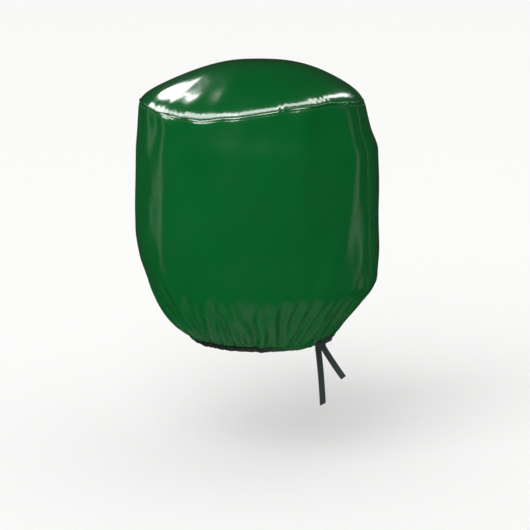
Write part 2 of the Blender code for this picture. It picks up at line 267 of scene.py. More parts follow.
def shoulder_drop(angle):
    return sum(
        drop * ease(1 - np.abs(angle_off(angle, centre)) / half) for centre, half, drop in SHOULDER_WAVES
    )


def hem_rise(angle):
    return HEM_FRONT_RISE * (1 - np.sin(angle)) / 2


def plain_dome(angle, share):
    """The top panel: share is 0 at the crown's edge, 1 at the shoulder seam and below 0 on the crown."""
    seam = side_mix(SHOULDER_LEFT, SHOULDER_RIGHT, angle)
    power = DOME_POWER + DOME_POWER_SIDE * np.cos(angle)
    past = np.maximum(share, 0.0)
    fall = (1 - DOME_ROLL) * past**power + DOME_ROLL * past**DOME_ROLL_POWER
    depth = SHOULDER_DEPTH * fall + shoulder_drop(angle) * past**DOME_WAVE_POWER
    return on_cover(angle, CROWN_RADIUS + (seam - CROWN_RADIUS) * share, depth)


def plain_skirt(angle, depth):
    radius = side_mix(read_outline(depth, 1), read_outline(depth, 2), angle)
    waves = shoulder_drop(angle) * (1 - ease((depth - SHOULDER_DEPTH) / WAVE_REACH))
    lift = hem_rise(angle) * ease((depth - RISE_FROM_DEPTH) / (SKIRT_BOTTOM - RISE_FROM_DEPTH))
    return on_cover(angle, radius, depth + waves - lift)


def outward(surface, angle, along, step):
    """Unit normals of a surface of (angle, along), pointing out of the cover."""
    down = surface(angle, along + step) - surface(angle, along - step)
    turn = surface(angle + ANGLE_STEP, along) - surface(angle - ANGLE_STEP, along)
    return unit(np.cross(down, turn))


def casing_frame(angle):
    """The casing's centre, the direction up along its slope and the direction square to it, outwards."""
    centre = on_cover(angle, side_mix(CASING_LEFT, CASING_RIGHT, angle), CASING_DEPTH - hem_rise(angle))
    lean = level(angle)
    up = UP * math.cos(CASING_LEAN) + lean * math.sin(CASING_LEAN)
    side = lean * math.cos(CASING_LEAN) - UP * math.sin(CASING_LEAN)
    return centre, up, side


# ---- Folds and pleats ----

SEAM_RIPPLE = 0.0012  # how far the shoulder seam strays from its line
SEAM_RIPPLE_REACH = 0.08
PUCKERS, PUCKER_HEIGHT, PUCKER_REACH = 104, 0.0004, 0.016
MEAN_RIDGE = 0.64  # a row of pleats' mean height, so that it stands as much inside its surface as outside
HEM_PLEATS = (  # pleats in a whole turn, height, reach above the casing
    (84, 0.0022, 0.022),
    (42, 0.0040, 0.050),
    (21, 0.0030, 0.100),
)
MAIN_PLEATS = (  # angle in degrees, half-width, height, reach above the casing, turn per metre of height
    (-141, 0.011, 0.0042, 0.045, -0.4),
    (-114, 0.009, 0.0030, 0.060, 0.3),
    (-86.5, 0.011, 0.0030, 0.052, 0.1),
    (-55, 0.010, 0.0046, 0.070, 0.9),
    (-8, 0.012, 0.0040, 0.080, -0.8),
    (35, 0.010, 0.0040, 0.060, 0.5),
    (84, 0.011, 0.0042, 0.070, -0.3),
    (131, 0.010, 0.0040, 0.055, 0.4),
)
FOLD_REACH = 0.20
FOLD_HEIGHT, SWELL_HEIGHT, DRAG_HEIGHT = 0.0022, 0.0022, 0.0010
CREASE_HEIGHT, DOME_SWELL_HEIGHT = 0.0003, 0.0005
ROLL_HEIGHT, ROLL_NEAR, ROLL_REACH = 0.0034, 0.0075, 0.055  # the sheets' round turn into the shoulder seam
GROOVE, HEM_GROOVE, GROOVE_HALF = 0.0004, 0.0010, 0.0024
GATHER_NOISE = 0.0008
GATHER_AT_MIDDLE = 0.75  # how much of the pleats' height reaches the middle of the casing
CASING_UNEVEN = 0.16
SIDE_VALLEY, SIDE_VALLEY_HALF = 0.0013, 0.0028
SIDE_PUCKER, SIDE_PUCKER_HEIGHT, SIDE_PUCKER_REACH = 0.016, 0.0003, 0.014

# Noise round the cover: seed, least and most waves in a whole turn, how far they tilt, how many are added.
SEAM_OUTWARDS = (21, (5, 26), 0)
SEAM_UPWARDS = (22, (5, 26), 0)
ROLL_NOISE = (24, (3, 14), 0)
PUCKER_DRIFT = (31, (4, 30), 0)
PUCKER_STRENGTH = (32, (6, 40), 0)
HANGING_FOLDS = (61, (9, 24), 3)
SWELLS = (62, (4, 13), 9)
DRAGS = (63, (12, 30), 26, 9)
GATHERS = (64, (20, 70), 60, 24)
DOME_CREASES = (71, (5, 15), 4)
DOME_SWELLS = (72, (2, 7), 5)
CASING_SWELLS = (81, (20, 60), 1)
PIPING_SWELLS = (91, (70, 260), 0, 9)


def seam_shift(angle, from_seam):
    """How far the shoulder seam strays outwards and upwards, dying out away from the seam."""
    outwards = SEAM_RIPPLE * ripple(angle, 0.0, *SEAM_OUTWARDS)
    upwards = SEAM_RIPPLE * ripple(angle, 0.0, *SEAM_UPWARDS)
    fade = bump(from_seam, SEAM_RIPPLE_REACH)
    return level(angle, outwards * fade, upwards * fade)


def seam_roll(angle, from_seam):
    """Both sheets stand round and proud beside the shoulder seam, and turn inwards to meet in it."""
    height = ROLL_HEIGHT * (1 + 0.25 * ripple(angle, 0.0, *ROLL_NOISE))
    return height * (1 - np.exp(-np.maximum(from_seam, 0) / ROLL_NEAR)) * bump(from_seam, ROLL_REACH)


def puckers(angle, from_seam):
    """Small folds square to the shoulder seam, where its thread draws the vinyl up."""
    warped = angle + 0.02 * ripple(angle, 0.0, *PUCKER_DRIFT)
    height = 0.6 + 0.4 * ripple(angle, 0.0, *PUCKER_STRENGTH)
    return PUCKER_HEIGHT * height * np.cos(PUCKERS * warped) * bump(from_seam, PUCKER_REACH, 1.5)


def hem_gathers(angle, above):
    """Pleats where the drawstring gathers the hem: round ridges with narrow valleys between them."""
    total = 0.0
    for seed, (pleats, height, reach) in enumerate(HEM_PLEATS, 41):
        warped = angle + 1.1 / pleats * ripple(angle, above, seed, (2, 19), 5)
        strength = np.clip(0.55 + 0.6 * ripple(angle, 0.0, seed + 10, (3, 23), 0), 0, 1.4)
        ridge = np.abs(np.cos(pleats * warped / 2)) - MEAN_RIDGE
        total = total + height * strength * ridge * bump(above, reach * (0.6 + 0.4 * strength), 1.6)
    for degrees, half_width, height, reach, turn in MAIN_PLEATS:
        centre = math.radians(degrees)
        radius = side_mix(CASING_LEFT, CASING_RIGHT, centre)
        sideways = angle_off(angle, centre + turn * above) * radius
        taper = half_width * (1 - 0.5 * ease(above / (2 * reach)))
        total = total + height * bump(sideways, taper, 4) * bump(above, reach, 3)
    return total


def soft_folds(angle, below):
    """Long soft folds that hang from the shoulder, and wide swells over the whole skirt."""
    hanging = FOLD_HEIGHT * ripple(angle, below, *HANGING_FOLDS) * bump(below, FOLD_REACH)
    swells = SWELL_HEIGHT * ripple(angle, below, *SWELLS)
    drags = DRAG_HEIGHT * ripple(angle, below, *DRAGS)
    return hanging * ease(below / 0.02) + (swells + drags) * ease(below / 0.05)


def planned_folds(angle, depth):
    """How far the skirt stands out of its plain surface before the cloth's own buckling."""
    below, above = depth - SHOULDER_DEPTH, SKIRT_BOTTOM - depth
    noise = GATHER_NOISE * ripple(angle, above, *GATHERS)
    folds = soft_folds(angle, below) + noise * ease(below / 0.2)
    return folds * ease(above / 0.06) + hem_gathers(angle, above)


def side_seams(angle, depth):
    """The valley along each side seam, and the small puckers that its thread draws."""
    total = 0.0
    for seed, seam in ((51, SEAM_LEFT), (52, SEAM_RIGHT)):
        sideways = angle_off(angle, seam) * SHOULDER_LEFT
        drawn = np.cos(TURN * depth / SIDE_PUCKER + 2.5 * ripple(0 * angle, depth, seed, (0, 1), 60))
        total = total - SIDE_VALLEY * bump(sideways, SIDE_VALLEY_HALF)
        total = total + SIDE_PUCKER_HEIGHT * drawn * bump(sideways, SIDE_PUCKER_REACH, 3)
    return total * ease((depth - SHOULDER_DEPTH) / 0.02) * ease((SKIRT_BOTTOM - depth) / 0.08)


# ---- The skirt as gathered cloth ----

CLOTH_COLUMNS, CLOTH_ROWS = 420, 104
CLOTH_STEPS = 320
FULLNESS = 0.17  # more cloth round the hem than the drawstring leaves room for
FULLNESS_FROM, FULLNESS_POWER = 0.545, 1.3
SLACK = 0.004
THREAD_HOLD, SHEAR_HOLD, BEND_HOLD, SHAPE_HOLD = 0.5, 0.15, 0.04, 0.0015


def pull(first, second, rest, share):
    """Moves neighbouring points, in place, towards being their rest length apart."""
    gap = second - first
    length = np.sqrt((gap * gap).sum(-1))
    move = gap * ((length - rest) / length * share)[..., None]
    first += move
    second -= move


def curl(offset):
    """The fourth differences of the points' offsets, down the cloth and round it: how sharply it is bent."""
    down, round_it = offset, offset
    for _ in range(2):
        down = np.pad(down[2:] + down[:-2] - 2 * down[1:-1], ((1, 1), (0, 0), (0, 0)))
        round_it = np.roll(round_it, 1, 1) + np.roll(round_it, -1, 1) - 2 * round_it
    return down + round_it


def gather_cloth():
    """Simulates the skirt, sewn at the shoulder and gathered at the hem, and returns how each point moved.

    The cloth is cut wider towards the hem than the space it hangs in, so it buckles into folds. Threads round
    it, down it and across it keep their lengths, bending is resisted, and both seams hold still.
    """
    angle = whole_turn(CLOTH_COLUMNS)
    depth = np.linspace(SHOULDER_DEPTH, SKIRT_BOTTOM, CLOTH_ROWS)
    angle, depth = np.meshgrid(angle, depth)
    plain = plain_skirt(angle, depth)
    height = planned_folds(angle, depth)
    goal = plain + outward(plain_skirt, angle, depth, DEPTH_STEP) * height[..., None]
    share = (depth - FULLNESS_FROM) / (SKIRT_BOTTOM - FULLNESS_FROM)
    wide = 1 + SLACK + FULLNESS * ease(share) ** FULLNESS_POWER
    round_rest = np.linalg.norm(np.roll(plain, -1, 1) - plain, axis=-1) * wide
    down_rest = np.linalg.norm(plain[1:] - plain[:-1], axis=-1) * (1 + SLACK)
    cross_rest = np.hypot((round_rest[1:] + round_rest[:-1]) / 2, down_rest)
    cloth = goal.copy()
    for _ in range(CLOTH_STEPS):
        for odd in (0, 1):
            turned = np.roll(cloth, -odd, 1)
            pull(turned[:, 0::2], turned[:, 1::2], np.roll(round_rest, -odd, 1)[:, 0::2], THREAD_HOLD)
            cloth = np.roll(turned, odd, 1)
            pull(cloth[odd:-1:2], cloth[odd + 1 :: 2], down_rest[odd::2], THREAD_HOLD)
            for side in (1, -1):
                beside = np.roll(cloth, -side, 1)[odd + 1 :: 2]
                pull(cloth[odd:-1:2], beside, cross_rest[odd::2], SHEAR_HOLD)
                cloth[odd + 1 :: 2] = np.roll(beside, side, 1)
        cloth -= BEND_HOLD * curl(cloth - plain)
        cloth += SHAPE_HOLD * (goal - cloth)
        cloth[0], cloth[-1] = goal[0], goal[-1]
    return cloth - plain


def cubic(share):
    """The weights of four neighbours in a row for a point at this share of the way between the middle two."""
    t = share
    return (
        ((2 - t) * t - 1) * t / 2,
        ((3 * t - 5) * t * t + 2) / 2,
        ((4 - 3 * t) * t + 1) * t / 2,
        (t - 1) * t * t / 2,
    )


def read_cloth(angle, depth):
    """How far the gathered cloth stands from the plain skirt at any angle and depth."""
    column = np.mod(angle, TURN) / TURN * CLOTH_COLUMNS
    row = np.clip((depth - SHOULDER_DEPTH) / (SKIRT_BOTTOM - SHOULDER_DEPTH), 0, 1) * (CLOTH_ROWS - 1)
    column, row = np.broadcast_arrays(column, row)
    left, top = np.floor(column).astype(int), np.floor(row).astype(int)
    total = 0.0
    for i, down in enumerate(cubic(row - top), -1):
        rows = np.clip(top + i, 0, CLOTH_ROWS - 1)
        for j, round_it in enumerate(cubic(column - left), -1):
            total = total + GATHERED[rows, (left + j) % CLOTH_COLUMNS] * (down * round_it)[..., None]
    return total


GATHERED = gather_cloth()


def folded_skirt(angle, depth):
    """The middle of the skirt's sheet, with the cloth's folds."""
    return plain_skirt(angle, depth) + read_cloth(angle, depth)


def skirt(angle, depth, lift=0.0):
    """The skirt with its folds and seams, lift metres outside the middle of the sheet."""
    below = depth - SHOULDER_DEPTH
    height = puckers(angle, below) + seam_roll(angle, below) + side_seams(angle, depth) + lift
    height = height - GROOVE * bump(depth - SHOULDER_STITCH_DEPTH, GROOVE_HALF)
    height = height - HEM_GROOVE * bump(depth - HEM_STITCH_DEPTH, GROOVE_HALF)
    normal = outward(folded_skirt, angle, depth, DEPTH_STEP)
    return folded_skirt(angle, depth) + normal * height[..., None] + seam_shift(angle, below)


def dome(angle, share, lift=0.0):
    """The top panel with its folds, lift metres outside the middle of the sheet."""
    from_seam = (1 - share) * (side_mix(SHOULDER_LEFT, SHOULDER_RIGHT, angle) - CROWN_RADIUS)
    creases = CREASE_HEIGHT * ripple(angle, share, *DOME_CREASES) * ease(share / 0.6)
    swells = DOME_SWELL_HEIGHT * ripple(angle, share, *DOME_SWELLS) * ease(share / 0.5)
    height = (creases + swells) * ease(from_seam / 0.06) + puckers(angle, from_seam)
    height = height + seam_roll(angle, from_seam) + lift
    normal = outward(plain_dome, angle, share, SHARE_STEP)
    return plain_dome(angle, share) + normal * height[..., None] + seam_shift(angle, from_seam)


def casing(angle, corner, lift=0.0):
    """The gathered casing: corner turns round its cross-section, from the seam at its top outwards."""
    centre, up, side = casing_frame(angle)
    gather = hem_gathers(angle, 0.0)
    swell = 1 + CASING_UNEVEN * ripple(angle, corner, *CASING_SWELLS)
    depth = (CASING_HALF_DEPTH * swell + lift) * np.sin(corner)
    height = (CASING_HALF_HEIGHT + lift) * np.cos(corner)
    shift = gather * (GATHER_AT_MIDDLE + (1 - GATHER_AT_MIDDLE) * np.cos(corner))
    return centre + up * height[..., None] + side * (depth + shift)[..., None]


# ---- Meshes ----

SHARP_EDGE = math.radians(50)
RIBBON_FLATNESS, RIBBON_FULLNESS = 0.35, 0.5  # lower puts more of a strap's points on its faces
STITCH_RINGS = (  # place along the stitch, thickness, and depth in the vinyl
    (-1.00, 0.25, 1.9),
    (-0.86, 0.80, 1.0),
    (-0.45, 1.00, 0.0),
    (0.45, 1.00, 0.0),
    (0.86, 0.80, 1.0),
    (1.00, 0.25, 1.9),
)


def new_object(name, data):
    """An object in the scene."""
    made = bpy.data.objects.new(name, data)
    bpy.context.scene.collection.objects.link(made)
    return made


def new_piece(name, points, faces, materials, face_materials=None):
    """A mesh object with these materials, smooth-shaded up to its sharp edges."""
    mesh = bpy.data.meshes.new(name)
    mesh.from_pydata(np.reshape(points, (-1, 3)).tolist(), [], [list(face) for face in faces])
    for look in materials:
        mesh.materials.append(look)
    if face_materials is not None:
        mesh.polygons.foreach_set("material_index", np.asarray(face_materials, np.int32))
    mesh.shade_smooth()
    mesh.set_sharp_from_angle(angle=SHARP_EDGE)
    mesh.update()
    return new_object(name, mesh)


def quads(rows, columns, wrap_columns=False, wrap_rows=False):
    """The faces of a grid of points stored row by row, facing along row x column."""
    row = np.arange(rows if wrap_rows else rows - 1)[:, None]
    column = np.arange(columns if wrap_columns else columns - 1)[None, :]
    next_row, next_column = (row + 1) % rows, (column + 1) % columns
    corners = (
        row * columns + column,
        next_row * columns + column,
        next_row * columns + next_column,
        row * columns + next_column,
    )
    return stack(*corners).reshape(-1, 4)


def rim_quads(outer, inner):
    """Faces that join two matching lines of vertex numbers."""
    return np.stack([outer[:-1], inner[:-1], inner[1:], outer[1:]], axis=-1)


def sheet_piece(name, surface, angles, along, looks, wrap=False, hub=None, thickness=SHEET, middle=0.0):
    """A closed sheet with its outside and its cut edges in the first look, and its inside in the second.

    With wrap its rows run all the way round. With a hub its first row closes to that point.
    """
    outer = surface(angles[None, :], along[:, None], middle + thickness / 2)
    inner = surface(angles[None, :], along[:, None], middle - thickness / 2)
    rows, columns = outer.shape[:2]
    count = rows * columns
    numbers = np.arange(count).reshape(rows, columns)
    outside = quads(rows, columns, wrap)
    inside = outside[:, ::-1] + count
    rows_round = np.hstack([numbers, numbers[:, :1]]) if wrap else numbers
    first, last = rows_round[0], rows_round[-1]
    edges = [last]
    points = [outer.reshape(-1, 3), inner.reshape(-1, 3)]
    fans = []
    if hub is None:
        edges.append(first[::-1])
    else:
        points.append(np.array([hub + UP * SHEET / 2, hub - UP * SHEET / 2]))
        fans = [[2 * count, a, b] for a, b in zip(first[:-1], first[1:])]
        fans += [[2 * count + 1, b + count, a + count] for a, b in zip(first[:-1], first[1:])]
    if not wrap:
        edges += [numbers[:, 0], numbers[::-1, -1]]
    rims = np.concatenate([rim_quads(edge, edge + count) for edge in edges])
    faces = [*outside.tolist(), *rims.tolist(), *inside.tolist(), *fans]
    ids = [0] * (len(outside) + len(rims)) + [1] * len(inside)
    ids += [0] * (len(fans) // 2) + [1] * (len(fans) // 2)
    return new_piece(name, np.concatenate(points), faces, looks, ids)


def paint(piece, layer, values):
    """A number for each vertex, which the piece's material reads by the layer's name."""
    attribute = piece.data.attributes.new(layer, "FLOAT", "POINT")
    attribute.data.foreach_set("value", np.asarray(values, np.float32).ravel())


def lay_uv(piece, per_vertex):
    """UVs in metres, given for each vertex."""
    corners = np.empty(len(piece.data.loops), np.int32)
    piece.data.loops.foreach_get("vertex_index", corners)
    layer = piece.data.uv_layers.new(name="strap")
    layer.data.foreach_set("uv", np.asarray(per_vertex, np.float32).reshape(-1, 2)[corners].ravel())


def hoop_piece(name, centres, radii, looks):
    """A round cord through the centres and back to the first, with a radius at each."""
    along = unit(np.roll(centres, -1, 0) - np.roll(centres, 1, 0))
    side = unit(np.cross(along, UP))
    up = np.cross(side, along)
    turn = whole_turn(PIPING_SIDES)[None, :, None]
    ring = side[:, None] * np.cos(turn) + up[:, None] * np.sin(turn)
    points = centres[:, None] + ring * np.reshape(radii, (-1, 1, 1))
    return new_piece(name, points, quads(len(centres), PIPING_SIDES, True, True), looks)


def distance_along(line):
    """How far each point of a line is from its start, along it."""
    return np.concatenate([[0], np.cumsum(np.linalg.norm(np.diff(line, axis=0), axis=1))])


def ribbon_piece(name, centres, across, widths, looks, skew=0.0, cup=0.0):
    """A woven strap: a flat band with rounded edges through the centres.

    across is the direction of its width at each centre. skew slants its far end, and cup bows its width.
    """
    centres, across = np.asarray(centres, float), unit(np.asarray(across, float))
    along = unit(np.gradient(centres, axis=0))
    face = unit(np.cross(along, across))
    run = distance_along(centres)
    turn = whole_turn(RIBBON_SIDES)
    flat = np.sign(np.cos(turn)) * np.abs(np.cos(turn)) ** RIBBON_FLATNESS
    thick = np.sign(np.sin(turn)) * np.abs(np.sin(turn)) ** RIBBON_FULLNESS
    half = np.reshape(widths, (-1, 1)) / 2 * flat
    slant = skew * flat * ease((run - run[-1] + SKEW_REACH) / SKEW_REACH)[:, None]
    bow = np.reshape(cup, (-1, 1)) * (flat**2)[None, :] * np.ones_like(half)
    points = centres[:, None] + across[:, None] * half[..., None] + along[:, None] * slant[..., None]
    points = points + face[:, None] * (thick * STRAP_THICK / 2 + bow)[..., None]
    faces = quads(len(centres), RIBBON_SIDES, True)[:, ::-1].tolist()
    last = (len(centres) - 1) * RIBBON_SIDES
    faces += [list(range(RIBBON_SIDES))[::-1], list(range(last, last + RIBBON_SIDES))]
    piece = new_piece(name, points, faces, looks)
    lay_uv(piece, stack(half, run[:, None] + slant))
    return piece


def stitch_piece(name, line, normals, looks):
    """Separate stitches along a line, each a short rounded thread that dips into the vinyl at its ends."""
    run = distance_along(line)
    count = int(run[-1] / STITCH_PITCH)
    middles = (np.arange(count) + 0.5) * run[-1] / count
    offsets, rings, dips = np.array(STITCH_RINGS).T
    offsets, rings, dips = STITCH_LENGTH / 2 * offsets, STITCH_RADIUS * rings, -STITCH_RADIUS * dips
    spots = middles[:, None] + offsets
    centre = stack(*(np.interp(spots, run, line[:, k]) for k in range(3)))
    normal = unit(stack(*(np.interp(spots, run, normals[:, k]) for k in range(3))))
    along = unit(centre[:, -1:] - centre[:, :1]) * np.ones_like(centre)
    side = unit(np.cross(along, normal))
    turn = whole_turn(STITCH_SIDES)[:, None]
    ring = side[:, :, None] * np.cos(turn) + normal[:, :, None] * np.sin(turn)
    points = (centre + normal * dips[:, None])[:, :, None] + ring * rings[:, None, None]
    one = quads(len(offsets), STITCH_SIDES, True)
    size = len(offsets) * STITCH_SIDES
    faces = (one[None] + (np.arange(count) * size)[:, None, None]).reshape(-1, 4).tolist()
    for first in range(0, count * size, size):
        faces.append(range(first, first + STITCH_SIDES))
        faces.append(range(first + size - STITCH_SIDES, first + size)[::-1])
    return new_piece(name, points, faces, looks)


# ---- Materials ----

GREEN = (0.0003, 0.097, 0.0170, 1)
DEEP_GREEN = (0.0002, 0.088, 0.0150, 1)
WORN_GREEN = (0.012, 0.150, 0.050, 1)
# Near black: painted shade for the underside of the hem casing.
CASING_SHADE_COLOUR = (0.0045, 0.0065, 0.0050, 1)
WEB_RIB = 0.0024
WEB_PICK = 0.0016
NODE_MODES = {
    "ShaderNodeMath": "operation",
    "ShaderNodeMix": "data_type",
    "ShaderNodeMapRange": "interpolation_type",
}


def fill(tree, node, inputs):
    """Gives a node its inputs: values, or sockets to link, by name with _ for a space, or by _0 and so on."""
    for name, value in inputs.items():
        key = int(name[1:]) if name[1:].isdigit() else name.replace("_", " ")
        if isinstance(value, bpy.types.NodeSocket):
            tree.links.new(value, node.inputs[key])
        else:
            node.inputs[key].default_value = value


def add_node(tree, kind, mode=None, **inputs):
    """A new node. Its mode is its operation, its data type or its way of interpolating."""
    node = tree.nodes.new(kind)
    if mode:
        setattr(node, NODE_MODES[kind], mode)
    fill(tree, node, inputs)
    return node


class Nodes:
    """A material's node tree, with its Principled shader."""

    def __init__(self, name, colour, roughness):
        self.material = bpy.data.materials.new(name)
        self.material.use_nodes = True
        self.material.diffuse_color = colour
        self.tree = self.material.node_tree
        self.shader = self.tree.nodes["Principled BSDF"]
        self.set(Base_Color=colour, Roughness=roughness)
        self.place = self.add("ShaderNodeTexCoord").outputs["Object"]

    def add(self, kind, mode=None, **inputs):
        return add_node(self.tree, kind, mode, **inputs)

    def noise(self, scale, detail):
        return self.add("ShaderNodeTexNoise", Vector=self.place, Scale=scale, Detail=detail).outputs["Fac"]

    def cells(self, scale):
        return self.add("ShaderNodeTexVoronoi", Vector=self.place, Scale=scale).outputs["Distance"]

    def math(self, operation, first, second=0.0):
        return self.add("ShaderNodeMath", operation, _0=first, _1=second).outputs[0]

    def spread(self, value, low, high, new_low, new_high):
        """The value stretched from low..high to new_low..new_high, and held inside that."""
        node = self.add("ShaderNodeMapRange", _0=value, _1=low, _2=high, _3=new_low, _4=new_high)
        return node.outputs["Result"]

    def painted(self, layer):
        """The numbers painted on a piece under this name."""
        node = self.add("ShaderNodeAttribute")
        node.attribute_name = layer
        return node.outputs["Fac"]

    def mix(self, factor, first, second):
        """A colour between two, which are colours or sockets."""
        return self.add("ShaderNodeMix", "RGBA", _0=factor, _6=first, _7=second).outputs[2]

    def bumps(self, *layers):
        """Height maps on top of each other: (height, distance in metres, strength)."""
        normal = None
        for height, distance, strength in layers:
            node = self.add("ShaderNodeBump", Height=height, Distance=distance, Strength=strength)
            if normal is not None:
                self.tree.links.new(normal, node.inputs["Normal"])
            normal = node.outputs["Normal"]
        self.set(Normal=normal)

    def set(self, **inputs):
        """Gives the shader its inputs."""
        fill(self.tree, self.shader, inputs)


def make_vinyl():
    """Glossy calendered vinyl: fine embossed grain, scuffs on its worn crests, and painted shade, near black,
    under the casing.
    """
    look = Nodes("cover_vinyl", GREEN, 0.22)
    clouds = look.noise(5.0, 4)
    tone = look.mix(look.spread(clouds, 0.30, 0.70, 0, 1), DEEP_GREEN, GREEN)
    rubbed = look.spread(look.noise(220, 5), 0.50, 0.72, 0, 0.35)
    scuffs = look.math("MULTIPLY", look.painted("wear"), rubbed)
    # Painted shade under the casing, broken up by noise. The same mask also makes the vinyl rougher there.
    shade_noise = look.spread(look.noise(70, 6), 0.30, 0.55, 0.65, 0.98)
    casing_shade = look.math("MULTIPLY", look.painted("underside_shade"), shade_noise)
    look.set(Base_Color=look.mix(casing_shade, look.mix(scuffs, tone, WORN_GREEN), CASING_SHADE_COLOUR))
    rough = look.spread(look.noise(9, 5), 0.3, 0.7, 0.13, 0.21)
    rough = look.math("ADD", rough, look.math("MULTIPLY", scuffs, 0.25))
    look.set(Roughness=look.math("ADD", rough, look.math("MULTIPLY", casing_shade, 0.30)))
    look.bumps(
        (look.noise(26, 4), 0.0016, 0.06),
        (look.noise(120, 3), 0.0004, 0.16),
        (look.cells(700), 0.0003, 0.16),
    )
    look.set(IOR=1.5, Specular_IOR_Level=0.45, Coat_Weight=0.35, Coat_Roughness=0.05)
    return look.material


def make_piping_vinyl():
    """The same vinyl drawn tight over the welt's cord, and scuffed all along."""
    look = Nodes("piping_vinyl", DEEP_GREEN, 0.25)
    scuffs = look.spread(look.noise(90, 6), 0.52, 0.72, 0, 0.5)
    look.set(Base_Color=look.mix(scuffs, DEEP_GREEN, WORN_GREEN))
    look.set(Roughness=look.spread(look.noise(60, 4), 0.3, 0.7, 0.2, 0.36))
    look.bumps((look.noise(300, 3), 0.0003, 0.35), (look.cells(900), 0.00016, 0.25))
    look.set(IOR=1.5, Coat_Weight=0.25, Coat_Roughness=0.1)
    return look.material


def make_flannel():
    """The brushed cotton backing: a grey-green nap with pills."""
    look = Nodes("flannel_backing", (0.110, 0.150, 0.120, 1), 0.95)
    tufts = look.spread(look.noise(420, 6), 0.35, 0.65, 0, 1)
    look.set(Base_Color=look.mix(tufts, (0.080, 0.115, 0.090, 1), (0.150, 0.190, 0.160, 1)))
    look.bumps((look.noise(60, 4), 0.0012, 0.3), (look.noise(900, 4), 0.0006, 0.6))
    look.set(Sheen_Weight=0.35, Sheen_Roughness=0.6)
    return look.material


def make_tape():
    """Twill binding tape."""
    look = Nodes("twill_tape", (0.010, 0.050, 0.022, 1), 0.85)
    look.set(Base_Color=look.mix(look.noise(300, 4), (0.006, 0.036, 0.016, 1), (0.016, 0.066, 0.030, 1)))
    twill = look.add("ShaderNodeTexWave", Vector=look.place, Scale=220, Distortion=1.5).outputs["Fac"]
    look.bumps((twill, 0.0003, 0.5), (look.noise(1200, 2), 0.0002, 0.4))
    look.set(Sheen_Weight=0.2)
    return look.material


def make_thread():
    """Twisted polyester thread, light where a ply catches the light."""
    look = Nodes("polyester_thread", (0.008, 0.075, 0.028, 1), 0.5)
    plies = look.noise(2500, 2)
    look.set(Base_Color=look.mix(plies, (0.004, 0.045, 0.016, 1), (0.020, 0.120, 0.050, 1)))
    look.bumps((plies, 0.0002, 0.5))
    look.set(Sheen_Weight=0.3)
    return look.material


def make_webbing():
    """Woven polypropylene strap: ribs along it, crossed by picks, with a firm edge and some fuzz."""
    look = Nodes("woven_webbing", (0.025, 0.042, 0.036, 1), 0.62)
    uv = look.add("ShaderNodeUVMap")
    uv.uv_map = "strap"
    parts = look.add("ShaderNodeSeparateXYZ", Vector=uv.outputs["UV"])
    across, along = parts.outputs["X"], parts.outputs["Y"]
    rib = look.math("SINE", look.math("MULTIPLY", across, TURN / WEB_RIB))
    pick = look.math("MULTIPLY", along, TURN / WEB_PICK)
    ribs = look.math("ABSOLUTE", rib)
    # Each rib's picks sit half a pick beside its neighbours'.
    half = look.math("MULTIPLY", look.math("SIGN", rib), math.pi / 2)
    picks = look.math("SINE", look.math("ADD", pick, half))
    weave = look.math("MULTIPLY", ribs, look.spread(picks, -1, 1, 0.35, 1))
    fuzz = look.noise(700, 4)
    # Painted shade: the base colour darkens in the weave's valleys between ribs and picks, and the fuzz adds
    # random tone.
    weave_shade_and_fuzz = look.math("ADD", look.math("MULTIPLY", weave, 0.75), look.math("MULTIPLY", fuzz, 0.35))
    look.set(Base_Color=look.mix(weave_shade_and_fuzz, (0.005, 0.012, 0.0095, 1), (0.027, 0.050, 0.042, 1)))
    look.set(Roughness=look.spread(weave, 0, 1, 0.8, 0.5))
    look.bumps((weave, 0.0005, 0.8), (fuzz, 0.0003, 0.25))
    look.set(Sheen_Weight=0.12, Sheen_Roughness=0.5)
    return look.material


# ---- Pieces ----

# Painted shade under the hem casing: where it is darkest, how far round it reaches, and its least strength.
CASING_SHADE_MOST, CASING_SHADE_REACH, CASING_SHADE_LEAST = math.radians(-112), math.radians(44), 0.25
CASING_SHADE_LOW, CASING_SHADE_HIGH, CASING_SHADE_EDGE = 0.35, 1.50, 0.55  # how high it climbs where it is least and most
CREST_WORN = 0.004  # a pleat this high is worn all through
SHOULDER_WEAR_REACH, SHOULDER_WEAR, CREST_WEAR = 0.014, 0.5, 0.8


def panel_angles(first_seam):
    """Angles across half of the skirt, closer together at its seams, with a hair's gap at each."""
    fine = np.linspace(0, SEAM_FINE, SEAM_FINE_COLUMNS)[:-1]
    middle = np.linspace(SEAM_FINE, math.pi - SEAM_FINE, PANEL_COLUMNS)
    turn = np.concatenate([fine, middle, math.pi - fine[::-1]])
    turn[0] += SEAM_HAIR
    turn[-1] -= SEAM_HAIR
    return first_seam + turn


def panel_depths():
    """Depths of the skirt's rows, closer together at the shoulder and above the hem."""
    top = SHOULDER_DEPTH + PIPING_ROOM
    marks = (top, top + FINE_BELOW_SHOULDER, SKIRT_BOTTOM - FINE_ABOVE_HEM, SKIRT_BOTTOM + HEM_TUCK)
    spans = [np.linspace(*span, rows)[:-1] for *span, rows in zip(marks, marks[1:], PANEL_ROWS)]
    return np.concatenate([*spans, marks[-1:]])


def places_of(piece):
    """Every vertex's place, and its angle round the cover."""
    places = np.array([vertex.co for vertex in piece.data.vertices])
    return places, np.arctan2(places[:, 1], places[:, 0])


def wear_of(piece, pleats_only=False):
    """Paints wear on what stands out: the crests of the hem's pleats and the edge of the shoulder."""
    places, angle = places_of(piece)
    depth = CAD_VINYL / 2 - places[:, 2]
    crest = np.clip(hem_gathers(angle, SKIRT_BOTTOM - depth) / CREST_WORN, 0, 1)
    shoulder = bump(depth - SHOULDER_DEPTH - shoulder_drop(angle), SHOULDER_WEAR_REACH)
    paint(piece, "wear", crest if pleats_only else np.maximum(crest * CREST_WEAR, shoulder * SHOULDER_WEAR))


